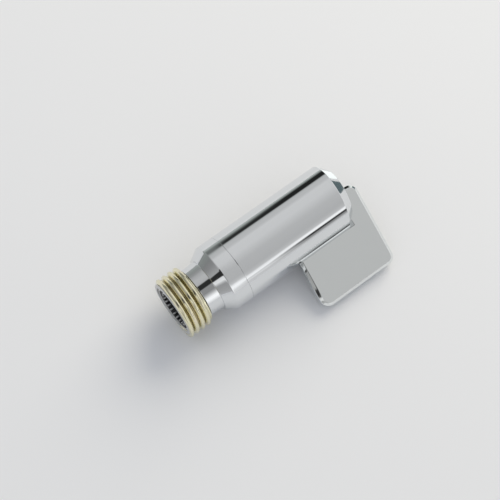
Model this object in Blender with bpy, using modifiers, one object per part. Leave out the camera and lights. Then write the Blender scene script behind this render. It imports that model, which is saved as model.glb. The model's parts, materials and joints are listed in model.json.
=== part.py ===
"""Lever head of an angle stop valve, lying on its side as it rests on a table.

A chromed collar body with a screwed-in brass nipple is the fixed half. A flag lever turns on the
body's barrel and drives a toothed socket in the nipple, which takes the splined spindle of the valve.
The valve axis runs along X, with the nipple at the low end. Driving sizes are in millimetres.
Along the axis, zero is the joint between the collar and the lever's sleeve.
"""

import math

import bmesh
import bpy

MM = 0.001
GAP = 0.3

# Sleeve and collar
SLEEVE_R = 11.6
SLEEVE_LENGTH = 42.8
SLEEVE_CHAMFER = 3.2
SLEEVE_BORE_R = 9.6
SLEEVE_BORE_DEPTH = 21.6
MOUTH_R = 10.4
MOUTH_DEPTH = 2.2
RAKE = math.radians(5.5)
COLLAR_START = -5.7
SHOULDER_FOOT_R = 9.2
SHOULDER_BULGE = math.radians(18.0)
COLLAR_EDGE = 0.4

# Flag of the lever
FLAG_LEFT = 19.9
FLAG_RIGHT = 48.8
FLAG_INNER = -0.5
FLAG_OUTER = 28.2
FLAG_THICKNESS = 4.2
FLAG_CORNER_R = 3.0
FLAG_BEVEL = 0.7

# Neck and nipple
NECK_R = 8.45
NECK_FLARE_R = 8.75
NECK_FLARE_STEPS = 3
NECK_START = -14.0
NECK_END = -9.2
THREAD_R = 10.48
THREAD_START = -23.0
THREAD_ROOT_R = 9.3
THREAD_RIDGES = 4
THREAD_PITCH = 2.13
THREAD_FIRST = -21.75
RIDGE_FOOT = 0.85
RIDGE_CREST = 0.3
NIPPLE_BORE_R = 8.1
NIPPLE_FLOOR = -15.2
SPIGOT_R = 7.0
SPIGOT_BORE_R = 5.0
SPIGOT_END = -7.6
NIPPLE_RING_AT = -11.6
NIPPLE_RING_R = 0.35
NIPPLE_GROOVE_R = 6.0

# Barrel of the collar body
BARREL_R = 9.0
BARREL_TIP_R = 7.9
BARREL_STEP = 10.0
BARREL_END = 17.0
BARREL_WEB_START = -1.5
BARREL_WEB_END = 1.5
WEB_BORE_R = 4.6
SEAL_BORE_R = 5.2
SEAL_BORE_END = 10.0
GLAND_BORE_R = 6.8
SLEEVE_RING_AT = 5.2
SLEEVE_RING_R = 0.55
SLEEVE_GROOVE_R = 7.9

# Shaft
SHAFT_R = 4.0
SHAFT_NOSE_R = 2.9
SHAFT_NOSE_START = -17.0
SHAFT_NOSE_END = -8.0
SHAFT_RINGS_AT = (3.6, 7.2)
SHAFT_RING_R = 0.75
SHAFT_GROOVE_R = 3.0
FLANGE_R = 6.2
FLANGE_START = 11.3
FLANGE_THICKNESS = 1.5
SQUARE_SIDE = 5.8
SQUARE_START = 21.5
SQUARE_END = 32.2

# Toothed socket
TOOTH_COUNT = 24
TOOTH_ROOT_R = 7.2
TOOTH_TIP_R = 5.9
SOCKET_R = 7.8
SOCKET_START = -22.7
SOCKET_FLOOR = -17.1
SOCKET_BACK = -15.5
BOSS_R = 4.7
BOSS_END = -10.4
PIN_AT = -12.9
PIN_R = 0.8
PIN_HALF_LENGTH = 4.3

# Insert, grub screw and plug
INSERT_R = 5.9
INSERT_START = 22.1
INSERT_END = 32.1
SCREW_AT = 27.0
SCREW_R = 1.9
SCREW_LENGTH = 6.2
SCREW_HEX = 1.0
PLUG_R = 1.9
PLUG_LENGTH = 1.6

# Stop that limits the lever to a quarter turn
LEVER_TRAVEL = math.radians(90.0)
STOP_START = 11.2
STOP_END = 14.8
STOP_INNER_R = 8.2
STOP_OUTER_R = 9.3
LUG_INNER_R = 8.3
LUG_WIDTH = 3.0
LUG_PLAY = math.radians(2.0)

OUTER_SEGMENTS = 56
INNER_SEGMENTS = 32
RING_SECTION_POINTS = 8

# The lever lies with the round of the flag's outer edge on the table, level with the sleeve's lowest line.
FLAG_REACH = FLAG_OUTER - FLAG_BEVEL
FLAG_HALF = FLAG_THICKNESS / 2 - FLAG_BEVEL
LEVER_REST = math.asin((SLEEVE_R - FLAG_BEVEL) / math.hypot(FLAG_REACH, FLAG_HALF))
LEVER_REST -= math.atan2(FLAG_HALF, FLAG_REACH)


def clear_scene():
    """Removes every object of the open file."""
    for thing in list(bpy.data.objects):
        bpy.data.objects.remove(thing)


def make_collection(name):
    """A new collection in the scene."""
    collection = bpy.data.collections.new(name)
    bpy.context.scene.collection.children.link(collection)
    return collection


def make_material(name, colour, metallic, roughness):
    """A Principled BSDF finish."""
    finish = bpy.data.materials.new(name)
    finish.use_nodes = True
    shader = finish.node_tree.nodes["Principled BSDF"]
    shader.inputs["Base Color"].default_value = (*colour, 1.0)
    shader.inputs["Metallic"].default_value = metallic
    shader.inputs["Roughness"].default_value = roughness
    return finish


def make_axis(name, roll):
    """An empty on the valve axis, turned about it by roll."""
    empty = bpy.data.objects.new(name, None)
    empty.location = (-middle_x() * MM, -middle_y() * MM, SLEEVE_R * MM)
    empty.rotation_euler = (roll, 0.0, 0.0)
    parts.objects.link(empty)
    return empty


def middle_x():
    """Half way between the nipple's end and the flag's far edge."""
    centre = flag_corner_centres()[1]
    return (THREAD_START + centre[0] + FLAG_CORNER_R) / 2


def middle_y():
    """Half way between the collar's side and the flag's outer edge."""
    flag_side = FLAG_REACH * math.cos(LEVER_REST) + FLAG_HALF * math.sin(LEVER_REST) + FLAG_BEVEL
    return (SLEEVE_R - flag_side) / 2


def place(name, mesh, finish, axis, along=0.0, turned=True):
    """An object for a mesh, on the axis; turned stands its own Z along the valve axis."""
    thing = bpy.data.objects.new(name, mesh)
    thing.parent = axis
    thing.location = (along * MM, 0.0, 0.0)
    if turned:
        thing.rotation_euler = (0.0, math.pi / 2, 0.0)
    if finish is None:
        cutters.objects.link(thing)
        thing.hide_render = True
        thing.display_type = "WIRE"
    else:
        mesh.materials.append(finish)
        parts.objects.link(thing)
    return thing


def lathe(name, profile, finish, axis, segments=INNER_SEGMENTS, closed=True):
    """A turned piece from (radius, along) points that run down the outer side first."""
    mesh = bpy.data.meshes.new(name)
    points = [(radius * MM, 0.0, along * MM) for radius, along in profile]
    edges = [(i, i + 1) for i in range(len(points) - 1)]
    if closed:
        edges.append((len(points) - 1, 0))
    mesh.from_pydata(points, edges, [])
    thing = place(name, mesh, finish, axis)
    screw = thing.modifiers.new("Turn", "SCREW")
    screw.axis = "Z"
    screw.angle = 2 * math.pi
    screw.steps = segments
    screw.render_steps = segments
    screw.use_merge_vertices = True
    screw.merge_threshold = 0.000001
    screw.use_smooth_shade = True
    return thing


def tube(name, outer, inner, start, end, finish, axis, segments=INNER_SEGMENTS):
    """A plain turned ring or bush."""
    profile = [(outer, end), (outer, start), (inner, start), (inner, end)]
    return lathe(name, profile, finish, axis, segments)


def sealing_ring(name, middle, section, at, finish, axis):
    """A turned rubber ring of round section."""
    profile = []
    for i in range(RING_SECTION_POINTS):
        angle = math.pi / 2 - 2 * math.pi * i / RING_SECTION_POINTS
        profile.append((middle + section * math.cos(angle), at + section * math.sin(angle)))
    return lathe(name, profile, finish, axis)


def arc(centre, radius, start, end, steps):
    """Points on an arc, ends included."""
    points = []
    for i in range(steps + 1):
        angle = start + (end - start) * i / steps
        points.append((centre[0] + radius * math.cos(angle), centre[1] + radius * math.sin(angle)))
    return points


def outline_mesh(name, loops, thickness):
    """A flat outline with a thickness, centred on its own plane."""
    curve = bpy.data.curves.new(name, "CURVE")
    curve.dimensions = "2D"
    curve.fill_mode = "BOTH"
    curve.extrude = thickness * MM / 2
    for loop in loops:
        spline = curve.splines.new("POLY")
        spline.points.add(len(loop) - 1)
        for point, (x, y) in zip(spline.points, loop):
            point.co = (x * MM, y * MM, 0.0, 1.0)
        spline.use_cyclic_u = True
    sketch = bpy.data.objects.new(name, curve)
    bpy.context.scene.collection.objects.link(sketch)
    evaluated = sketch.evaluated_get(bpy.context.evaluated_depsgraph_get())
    mesh = bpy.data.meshes.new_from_object(evaluated)
    bpy.data.objects.remove(sketch)
    shape = bmesh.new()
    shape.from_mesh(mesh)
    bmesh.ops.remove_doubles(shape, verts=shape.verts, dist=0.000001)
    bmesh.ops.dissolve_limit(shape, angle_limit=0.01, verts=shape.verts, edges=shape.edges)
    bmesh.ops.recalc_face_normals(shape, faces=shape.faces)
    shape.to_mesh(mesh)
    shape.free()
    return mesh


def extrude(name, loops, start, end, finish, axis):
    """An outline drawn across the valve axis and drawn out along it."""
    mesh = outline_mesh(name, loops, end - start)
    return place(name, mesh, finish, axis, (start + end) / 2)


def combine(thing, other, operation):
    """Cuts, joins or trims a piece with another object."""
    boolean = thing.modifiers.new(operation.title(), "BOOLEAN")
    boolean.operation = operation
    boolean.object = other
    boolean.solver = "EXACT"


def radial_cutter(name, radius, inner, outer, along, axis, direction=-1.0):
    """A round cutter square to the valve axis, from one radius to another."""
    mesh = bpy.data.meshes.new(name)
    shape = bmesh.new()
    bmesh.ops.create_cone(
        shape,
        cap_ends=True,
        segments=INNER_SEGMENTS // 2,
        radius1=radius * MM,
        radius2=radius * MM,
        depth=(outer - inner) * MM,
    )
    shape.to_mesh(mesh)
    shape.free()
    thing = place(name, mesh, None, axis, along, turned=False)
    thing.location.z = direction * (inner + outer) / 2 * MM
    return thing


def flag_corner_centres():
    """Centres of the flag's corner arcs, from the far outer corner round to the near outer one."""
    lean = math.tan(RAKE)
    inset = FLAG_CORNER_R / math.cos(RAKE)
    centres = []
    for edge, side, q in (
        (FLAG_RIGHT, -inset, FLAG_OUTER - FLAG_CORNER_R),
        (FLAG_RIGHT, -inset, FLAG_INNER + FLAG_CORNER_R),
        (FLAG_LEFT, inset, FLAG_INNER + FLAG_CORNER_R),
        (FLAG_LEFT, inset, FLAG_OUTER - FLAG_CORNER_R),
    ):
        centres.append((edge + side - lean * q, -q))
    return centres


def flag_outline():
    """The raked flag with round corners, seen square to its faces."""
    turns = (-math.pi / 2, -RAKE, math.pi / 2, math.pi - RAKE, 3 * math.pi / 2)
    points = []
    for i, centre in enumerate(flag_corner_centres()):
        points += arc(centre, FLAG_CORNER_R, turns[i], turns[i + 1], 6)
    return points


def sleeve_mesh():
    """The lever's solid round bar with its raked and chamfered end."""
    mesh = bpy.data.meshes.new("lever_handle")
    shape = bmesh.new()
    bmesh.ops.create_cone(
        shape,
        cap_ends=True,
        segments=OUTER_SEGMENTS,
        radius1=SLEEVE_R * MM,
        radius2=SLEEVE_R * MM,
        depth=SLEEVE_LENGTH * MM,
    )
    lean = math.tan(RAKE)
    far = []
    for vertex in shape.verts:
        across, up, along = vertex.co
        end = along > 0
        vertex.co = (along + SLEEVE_LENGTH * MM / 2, up, -across)
        if end:
            vertex.co.x += lean * up
            far.append(vertex)
    shape.normal_update()
    rim = [e for e in shape.edges if all(v in far for v in e.verts)]
    chamfer = SLEEVE_CHAMFER * MM
    bmesh.ops.bevel(shape, geom=rim, offset=chamfer, segments=1, affect="EDGES", profile=0.5)
    bmesh.ops.recalc_face_normals(shape, faces=shape.faces)
    shape.to_mesh(mesh)
    shape.free()
    return mesh


def build_lever_handle(axis):
    """The cast lever: a blind sleeve with a flag on its side and a stop lug in its bore."""
    handle = place("lever_handle", sleeve_mesh(), chrome, axis, turned=False)
    blade = outline_mesh("flag_form", [flag_outline()], FLAG_THICKNESS)
    flag = place("flag_form", blade, None, axis, turned=False)
    bevel = flag.modifiers.new("Edges", "BEVEL")
    bevel.width = FLAG_BEVEL * MM
    bevel.segments = 2
    bevel.limit_method = "ANGLE"
    bevel.angle_limit = math.radians(60.0)
    combine(handle, flag, "UNION")
    bore = [
        (0.0, INSERT_END + GAP),
        (INSERT_R + GAP, INSERT_END + GAP),
        (INSERT_R + GAP, SLEEVE_BORE_DEPTH),
        (SLEEVE_BORE_R, SLEEVE_BORE_DEPTH),
        (SLEEVE_BORE_R, MOUTH_DEPTH),
        (MOUTH_R, MOUTH_DEPTH),
        (MOUTH_R, -1.0),
        (0.0, -1.0),
    ]
    cutter = lathe("sleeve_bore", bore, None, axis, OUTER_SEGMENTS, closed=False)
    combine(handle, cutter, "DIFFERENCE")
    screw_hole = radial_cutter("screw_hole", SCREW_R + GAP, SQUARE_SIDE / 2, SLEEVE_R + 2, SCREW_AT, axis)
    combine(handle, screw_hole, "DIFFERENCE")
    combine(handle, lug_form(axis), "UNION")
    return screw_hole


def lug_form(axis):
    """The block in the sleeve's bore that runs against the stop collar."""
    mesh = bpy.data.meshes.new("lug_form")
    shape = bmesh.new()
    bmesh.ops.create_cube(shape, size=1.0)
    depth = (SLEEVE_BORE_R + SLEEVE_R) / 2 - LUG_INNER_R
    for vertex in shape.verts:
        vertex.co.x *= (STOP_END - STOP_START) * MM
        vertex.co.y *= LUG_WIDTH * MM
        vertex.co.z *= depth * MM
    shape.to_mesh(mesh)
    shape.free()
    lug = place("lug_form", mesh, None, axis, (STOP_START + STOP_END) / 2, turned=False)
    lug.location.z = (LUG_INNER_R + depth / 2) * MM
    return lug


def build_insert(axis, screw_hole):
    """The moulded insert that carries the shaft's square end in the lever."""
    half = SQUARE_SIDE / 2 + GAP
    square = [(half, half), (-half, half), (-half, -half), (half, -half)]
    rim = arc((0.0, 0.0), INSERT_R, 0.0, 2 * math.pi, INNER_SEGMENTS)[:-1]
    insert = extrude("handle_insert", [rim, square], INSERT_START, INSERT_END, moulding, axis)
    combine(insert, screw_hole, "DIFFERENCE")


def build_screw(axis):
    """The grub screw that clamps the shaft, with its hexagon recess, and the plug over it."""
    inner = SQUARE_SIDE / 2 + GAP
    bottom = -(inner + SCREW_LENGTH)
    point = 0.5
    profile = [
        (0.0, -inner),
        (SCREW_R - point, -inner),
        (SCREW_R, -inner - point),
        (SCREW_R, bottom),
        (0.0, bottom),
    ]
    screw = lathe("grub_screw", profile, steel, axis, INNER_SEGMENTS // 2, closed=False)
    upright(screw)
    hexagon = arc((0.0, 0.0), SCREW_HEX, 0.0, 2 * math.pi, 6)[:-1]
    recess = place("hex_recess", outline_mesh("hex_recess", [hexagon], SCREW_LENGTH), None, axis)
    upright(recess)
    recess.location.z = bottom * MM
    combine(screw, recess, "DIFFERENCE")
    top = -(inner + SCREW_LENGTH + GAP)
    cap = [(0.0, top), (PLUG_R, top), (PLUG_R, top - PLUG_LENGTH), (0.0, top - PLUG_LENGTH)]
    upright(lathe("screw_plug", cap, moulding, axis, INNER_SEGMENTS // 2, closed=False))


def upright(thing):
    """Stands a turned piece square to the valve axis, over the grub screw's place."""
    thing.rotation_euler = (0.0, 0.0, 0.0)
    thing.location = (SCREW_AT * MM, 0.0, 0.0)


def build_shaft(axis, pin_hole):
    """The drive shaft: nose for the socket, sealing grooves, thrust flange and square end."""
    profile = [(0.0, SQUARE_START + GAP), (SHAFT_R, SQUARE_START + GAP)]
    profile += [(SHAFT_R, FLANGE_START + FLANGE_THICKNESS), (FLANGE_R, FLANGE_START + FLANGE_THICKNESS)]
    profile += [(FLANGE_R, FLANGE_START), (SHAFT_R, FLANGE_START)]
    for at in reversed(SHAFT_RINGS_AT):
        half = SHAFT_RING_R + GAP
        profile += [(SHAFT_R, at + half), (SHAFT_GROOVE_R, at + half)]
        profile += [(SHAFT_GROOVE_R, at - half), (SHAFT_R, at - half)]
    profile += [(SHAFT_R, SHAFT_NOSE_END), (SHAFT_NOSE_R, SHAFT_NOSE_END)]
    profile += [(SHAFT_NOSE_R, SHAFT_NOSE_START), (0.0, SHAFT_NOSE_START)]
    shaft = lathe("drive_shaft", profile, brass, axis, closed=False)
    half = SQUARE_SIDE / 2
    square = [(half, half), (-half, half), (-half, -half), (half, -half)]
    combine(shaft, extrude("square_form", [square], SQUARE_START, SQUARE_END, None, axis), "UNION")
    combine(shaft, pin_hole, "DIFFERENCE")
    for name, at in zip(("shaft_ring_front", "shaft_ring_rear"), SHAFT_RINGS_AT):
        middle = SHAFT_GROOVE_R + GAP + SHAFT_RING_R + 0.1
        sealing_ring(name, middle, SHAFT_RING_R, at, rubber, axis)


def tooth_outline():
    """The toothed bore: flat-topped teeth between a root and a tip circle."""
    pitch = 2 * math.pi / TOOTH_COUNT
    tooth = ((TOOTH_ROOT_R, -0.36), (TOOTH_ROOT_R, 0.06), (TOOTH_TIP_R, 0.25), (TOOTH_TIP_R, 0.45))
    points = []
    for i in range(TOOTH_COUNT):
        for radius, share in tooth:
            angle = (i + share) * pitch
            points.append((radius * math.cos(angle), radius * math.sin(angle)))
    return points


def build_socket(axis, pin_hole):
    """The steel socket with internal teeth, its boss pinned to the shaft's nose."""
    profile = [
        (SOCKET_R, SOCKET_START),
        (SHAFT_NOSE_R + GAP, SOCKET_START),
        (SHAFT_NOSE_R + GAP, BOSS_END),
        (BOSS_R, BOSS_END),
        (BOSS_R, SOCKET_BACK),
        (SOCKET_R, SOCKET_BACK),
    ]
    socket = lathe("toothed_socket", profile, steel, axis, OUTER_SEGMENTS)
    teeth = extrude("teeth_form", [tooth_outline()], SOCKET_START - 1.0, SOCKET_FLOOR, None, axis)
    combine(socket, teeth, "DIFFERENCE")
    combine(socket, pin_hole, "DIFFERENCE")
    pin = [(0.0, PIN_HALF_LENGTH), (PIN_R, PIN_HALF_LENGTH)]
    pin += [(PIN_R, -PIN_HALF_LENGTH), (0.0, -PIN_HALF_LENGTH)]
    drive_pin = lathe("socket_pin", pin, steel, axis, INNER_SEGMENTS // 2, closed=False)
    drive_pin.rotation_euler = (0.0, 0.0, 0.0)
    drive_pin.location = (PIN_AT * MM, 0.0, 0.0)


def ridge_section(middle):
    """One ridge of the thread, drawn as a ring, from its foot over its crest to its other foot."""
    return [
        (THREAD_ROOT_R, middle + RIDGE_FOOT),
        (THREAD_R, middle + RIDGE_CREST),
        (THREAD_R, middle - RIDGE_CREST),
        (THREAD_ROOT_R, middle - RIDGE_FOOT),
    ]


def build_nipple(axis):
    """The brass nipple: ridged outside, wide mouth for the socket and a grooved spigot."""
    half = NIPPLE_RING_R + GAP
    groove = [
        (SPIGOT_R, NIPPLE_RING_AT + half),
        (NIPPLE_GROOVE_R, NIPPLE_RING_AT + half),
        (NIPPLE_GROOVE_R, NIPPLE_RING_AT - half),
        (SPIGOT_R, NIPPLE_RING_AT - half),
    ]
    profile = [(SPIGOT_R, SPIGOT_END), *groove]
    profile += [(SPIGOT_R, NECK_START - GAP), (THREAD_ROOT_R, NECK_START - GAP)]
    for i in reversed(range(THREAD_RIDGES)):
        profile += ridge_section(THREAD_FIRST + i * THREAD_PITCH)
    profile.append((THREAD_ROOT_R, THREAD_START))
    profile += [(NIPPLE_BORE_R, THREAD_START), (NIPPLE_BORE_R, NIPPLE_FLOOR)]
    profile += [(SPIGOT_BORE_R, NIPPLE_FLOOR), (SPIGOT_BORE_R, SPIGOT_END)]
    lathe("threaded_nipple", profile, brass, axis, OUTER_SEGMENTS)
    middle = NIPPLE_GROOVE_R + GAP + NIPPLE_RING_R
    sealing_ring("nipple_ring", middle, NIPPLE_RING_R, NIPPLE_RING_AT, rubber, axis)


def collar_shoulder():
    """The domed shoulder between the collar and the neck, from the collar's side."""
    rise = SLEEVE_R - SHOULDER_FOOT_R
    run = COLLAR_START - NECK_END
    radius = math.hypot(rise, run) / 2 / math.sin(SHOULDER_BULGE)
    start = math.atan2(rise, run) - SHOULDER_BULGE
    centre = (SLEEVE_R - radius * math.cos(start), COLLAR_START + radius * math.sin(start))
    return arc(centre, radius, -start, -start - 2 * SHOULDER_BULGE, 4)


def neck_flare():
    """The neck's outer side, which flares towards the cone."""
    points = []
    for i in range(NECK_FLARE_STEPS + 1):
        share = 1 - i / NECK_FLARE_STEPS
        radius = NECK_R + (NECK_FLARE_R - NECK_R) * share ** 2
        points.append((radius, NECK_START + (NECK_END - NECK_START) * share))
    return points


def build_collar_body(axis):
    """The chromed body: neck, cone, collar and the barrel that the lever turns on."""
    half = SLEEVE_RING_R + GAP
    front_bore = SPIGOT_R + GAP
    profile = [
        (BARREL_TIP_R, BARREL_END),
        (BARREL_TIP_R, BARREL_STEP),
        (BARREL_R, BARREL_STEP),
        (BARREL_R, SLEEVE_RING_AT + half),
        (SLEEVE_GROOVE_R, SLEEVE_RING_AT + half),
        (SLEEVE_GROOVE_R, SLEEVE_RING_AT - half),
        (BARREL_R, SLEEVE_RING_AT - half),
        (BARREL_R, -GAP),
        (SLEEVE_R - COLLAR_EDGE, -GAP),
        (SLEEVE_R, -GAP - COLLAR_EDGE),
        *collar_shoulder(),
        *neck_flare(),
        (front_bore, NECK_START),
        (front_bore, BARREL_WEB_START),
        (WEB_BORE_R, BARREL_WEB_START),
        (WEB_BORE_R, BARREL_WEB_END),
        (SEAL_BORE_R, BARREL_WEB_END),
        (SEAL_BORE_R, SEAL_BORE_END),
        (GLAND_BORE_R, SEAL_BORE_END),
        (GLAND_BORE_R, BARREL_END),
    ]
    lathe("collar_body", profile, chrome, axis, OUTER_SEGMENTS)
    middle = SLEEVE_GROOVE_R + GAP + SLEEVE_RING_R
    sealing_ring("sleeve_ring", middle, SLEEVE_RING_R, SLEEVE_RING_AT, rubber, axis)


def build_bearings(axis):
    """The bushes, thrust washers and slip ring that guide the shaft and the sleeve."""
    running = SHAFT_R + GAP
    bush_r = SPIGOT_R
    tube("front_bush", bush_r, running, SPIGOT_END + GAP, BARREL_WEB_START - GAP, bearing, axis)
    washer_r = GLAND_BORE_R - GAP
    flange_end = FLANGE_START + FLANGE_THICKNESS
    tube("thrust_washer_front", washer_r, running, SEAL_BORE_END + GAP, FLANGE_START - GAP, bearing, axis)
    tube("thrust_washer_rear", washer_r, running, flange_end + GAP, flange_end + 1.0, bearing, axis)
    bush_end = flange_end + 2.6
    tube("rear_bush", washer_r, running, flange_end + 1.0 + GAP, bush_end, bearing, axis)
    slip_outer = MOUTH_R - GAP
    tube("slip_ring", slip_outer, BARREL_R + GAP, 0.0, MOUTH_DEPTH - GAP, bearing, axis, OUTER_SEGMENTS)
    return bush_end


def build_gland_nut(axis, start):
    """The slotted ring nut that closes the barrel and holds the shaft's flange."""
    end = BARREL_END + 1.0
    nut = tube("gland_nut", GLAND_BORE_R - GAP, SHAFT_R + GAP, start + GAP, end, brass, axis)
    slot_width = 1.6
    slot_depth = 1.4
    half = slot_width / 2
    reach = GLAND_BORE_R + 1.0
    slot = [(reach, half), (-reach, half), (-reach, -half), (reach, -half)]
    combine(nut, extrude("spanner_slot", [slot], end - slot_depth, end + 1.0, None, axis), "DIFFERENCE")


def build_stop_collar(axis):
    """The fixed collar on the barrel, open over the quarter turn in which the lug runs."""
    lug_half = math.asin(LUG_WIDTH / 2 / LUG_INNER_R) + LUG_PLAY
    opened_from = math.pi + LEVER_REST - LEVER_TRAVEL - lug_half
    opened_to = math.pi + LEVER_REST + lug_half
    steps = INNER_SEGMENTS
    outer = arc((0.0, 0.0), STOP_OUTER_R, opened_to, opened_from + 2 * math.pi, steps)
    inner = arc((0.0, 0.0), STOP_INNER_R, opened_from + 2 * math.pi, opened_to, steps)
    extrude("stop_collar", [outer + inner], STOP_START, STOP_END, steel, axis)


clear_scene()
parts = make_collection("angle_stop_valve")
cutters = make_collection("cutters")

chrome = make_material("chrome", (0.78, 0.79, 0.80), 1.0, 0.07)
brass = make_material("brass", (0.72, 0.62, 0.36), 1.0, 0.25)
steel = make_material("steel", (0.55, 0.55, 0.54), 1.0, 0.35)
rubber = make_material("rubber", (0.03, 0.03, 0.03), 0.0, 0.7)
bearing = make_material("bearing_plastic", (0.85, 0.85, 0.82), 0.0, 0.5)
moulding = make_material("moulded_plastic", (0.25, 0.26, 0.28), 0.0, 0.5)

head_axis = make_axis("head_axis", 0.0)
lever_axis = make_axis("lever_axis", LEVER_REST)

build_nipple(head_axis)
build_collar_body(head_axis)
gland_start = build_bearings(head_axis)
build_gland_nut(head_axis, gland_start)
build_stop_collar(head_axis)

pin_cutter = radial_cutter("pin_hole", PIN_R + GAP, -BOSS_R - 1.0, BOSS_R + 1.0, PIN_AT, lever_axis)
build_shaft(lever_axis, pin_cutter)
build_socket(lever_axis, pin_cutter)
screw_cutter = build_lever_handle(lever_axis)
build_insert(lever_axis, screw_cutter)
build_screw(lever_axis)
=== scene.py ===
"""Looks for the lever head of an angle stop valve, lying on a pale table.

The chromed collar, the bare nipple with its thread, the toothed socket and the flag lever are rebuilt
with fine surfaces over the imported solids. The inner pieces keep their solids and get their own finishes.
A piece's own sizes are in millimetres along the valve axis, with zero at the joint of the collar and the
sleeve. The studio's sizes are in metres.
"""

import json
import logging
import math
from dataclasses import dataclass, field
from enum import Enum
from typing import Callable

import bmesh
import bpy
from mathutils import Matrix, Vector


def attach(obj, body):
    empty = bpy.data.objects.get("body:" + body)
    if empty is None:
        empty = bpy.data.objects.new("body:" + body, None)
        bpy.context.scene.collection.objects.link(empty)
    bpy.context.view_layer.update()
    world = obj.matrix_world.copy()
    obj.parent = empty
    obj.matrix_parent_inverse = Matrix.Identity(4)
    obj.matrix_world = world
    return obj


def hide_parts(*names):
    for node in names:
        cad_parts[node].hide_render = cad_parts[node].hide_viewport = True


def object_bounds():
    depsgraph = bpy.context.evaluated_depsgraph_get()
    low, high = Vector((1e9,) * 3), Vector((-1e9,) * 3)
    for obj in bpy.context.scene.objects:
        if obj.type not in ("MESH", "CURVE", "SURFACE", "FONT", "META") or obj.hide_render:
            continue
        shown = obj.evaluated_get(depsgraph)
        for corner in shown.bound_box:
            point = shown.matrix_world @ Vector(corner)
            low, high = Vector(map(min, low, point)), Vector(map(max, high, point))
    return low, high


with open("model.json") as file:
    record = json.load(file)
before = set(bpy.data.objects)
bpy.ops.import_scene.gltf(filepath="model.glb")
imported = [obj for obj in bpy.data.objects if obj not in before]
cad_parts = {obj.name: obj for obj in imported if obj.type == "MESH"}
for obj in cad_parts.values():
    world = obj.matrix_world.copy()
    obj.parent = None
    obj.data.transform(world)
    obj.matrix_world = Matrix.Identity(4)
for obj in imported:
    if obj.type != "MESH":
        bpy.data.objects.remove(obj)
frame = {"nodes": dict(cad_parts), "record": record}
CAD_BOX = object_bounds()

LOG = logging.getLogger("valve_head")
MM = 0.001
IMAGE_PIXELS = 500.0
LEVER_ROLL_DEG = 20.4047
# The camera's place is measured from the joint along X and Y, and from the table along Z
CAMERA_PLACE = (-0.078306, -0.113426, 0.386411)
CAMERA_FORWARD = (0.2160, 0.2860, -0.9336)

Colour = tuple[float, float, float]
Shade = tuple[float, float, float, float]
Spot = tuple[float, float, float]
Corner = tuple[float, float, float]
Profile = list[tuple[float, float]]
Stops = tuple[tuple[float, float], ...]
Ring = list[bmesh.types.BMVert]
Shift = Callable[[float, float, float], float]
Links = dict[str | int, bpy.types.NodeSocket]


class Body(Enum):
    """The two rigid bodies that the pieces ride on."""

    HEAD = "head"
    LEVER = "lever"


class Slot(Enum):
    """Material slots of the record."""

    CHROME = "chrome"
    BRASS = "brass"
    STEEL = "steel"
    RUBBER = "rubber"
    BEARING = "bearing"
    MOULDING = "moulding"


def add_node(
    tree: bpy.types.NodeTree,
    kind: str,
    links: Links | None = None,
    **values: object,
) -> bpy.types.Node:
    """Adds a node to a shader or geometry tree.

    Args:
        tree: The tree.
        kind: The node's type.
        links: Sockets to link to its inputs.
        values: Properties of the node, or values of its inputs.

    Returns:
        The new node.
    """
    made = tree.nodes.new(kind)
    for key, value in values.items():
        if hasattr(made, key):
            setattr(made, key, value)
        else:
            made.inputs[key.replace("_", " ").title()].default_value = value
    for key, source in (links or {}).items():
        tree.links.new(source, made.inputs[key])
    return made


def add_object(name: str, data: bpy.types.ID) -> bpy.types.Object:
    """Makes an object and links it to the scene.

    Args:
        name: Name of the object.
        data: Its mesh, lamp or camera.

    Returns:
        The object.
    """
    made = bpy.data.objects.new(name, data)
    bpy.context.scene.collection.objects.link(made)
    return made


@dataclass(frozen=True)
class ValveAxis:
    """Where the valve axis lies, and how the lever is rolled about it.

    Attributes:
        origin: The joint's centre in metres.
        roll: The lever's roll at rest, in radians.
    """

    origin: Vector
    roll: float

    def point(self, along: float, across: float, up: float, rolled: bool) -> Vector:
        """Gives a world point.

        Args:
            along: Place along the axis in millimetres.
            across: Place across the axis, away from the flag.
            up: Place square to the flag.
            rolled: Whether the point belongs to the lever.

        Returns:
            The point in metres.
        """
        roll = self.roll if rolled else 0.0
        y = across * math.cos(roll) - up * math.sin(roll)
        z = across * math.sin(roll) + up * math.cos(roll)
        return self.origin + Vector((along, y, z)) * MM

    def matrix(self, rolled: bool) -> Matrix:
        """Gives the matrix that stands a shape's own Z along the axis.

        Args:
            rolled: Whether the shape belongs to the lever.

        Returns:
            The matrix, in metres.
        """
        roll = self.roll if rolled else 0.0
        turn = Matrix.Rotation(roll, 4, "X") @ Matrix.Rotation(math.pi / 2, 4, "Y")
        return Matrix.Translation(self.origin) @ turn


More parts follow.
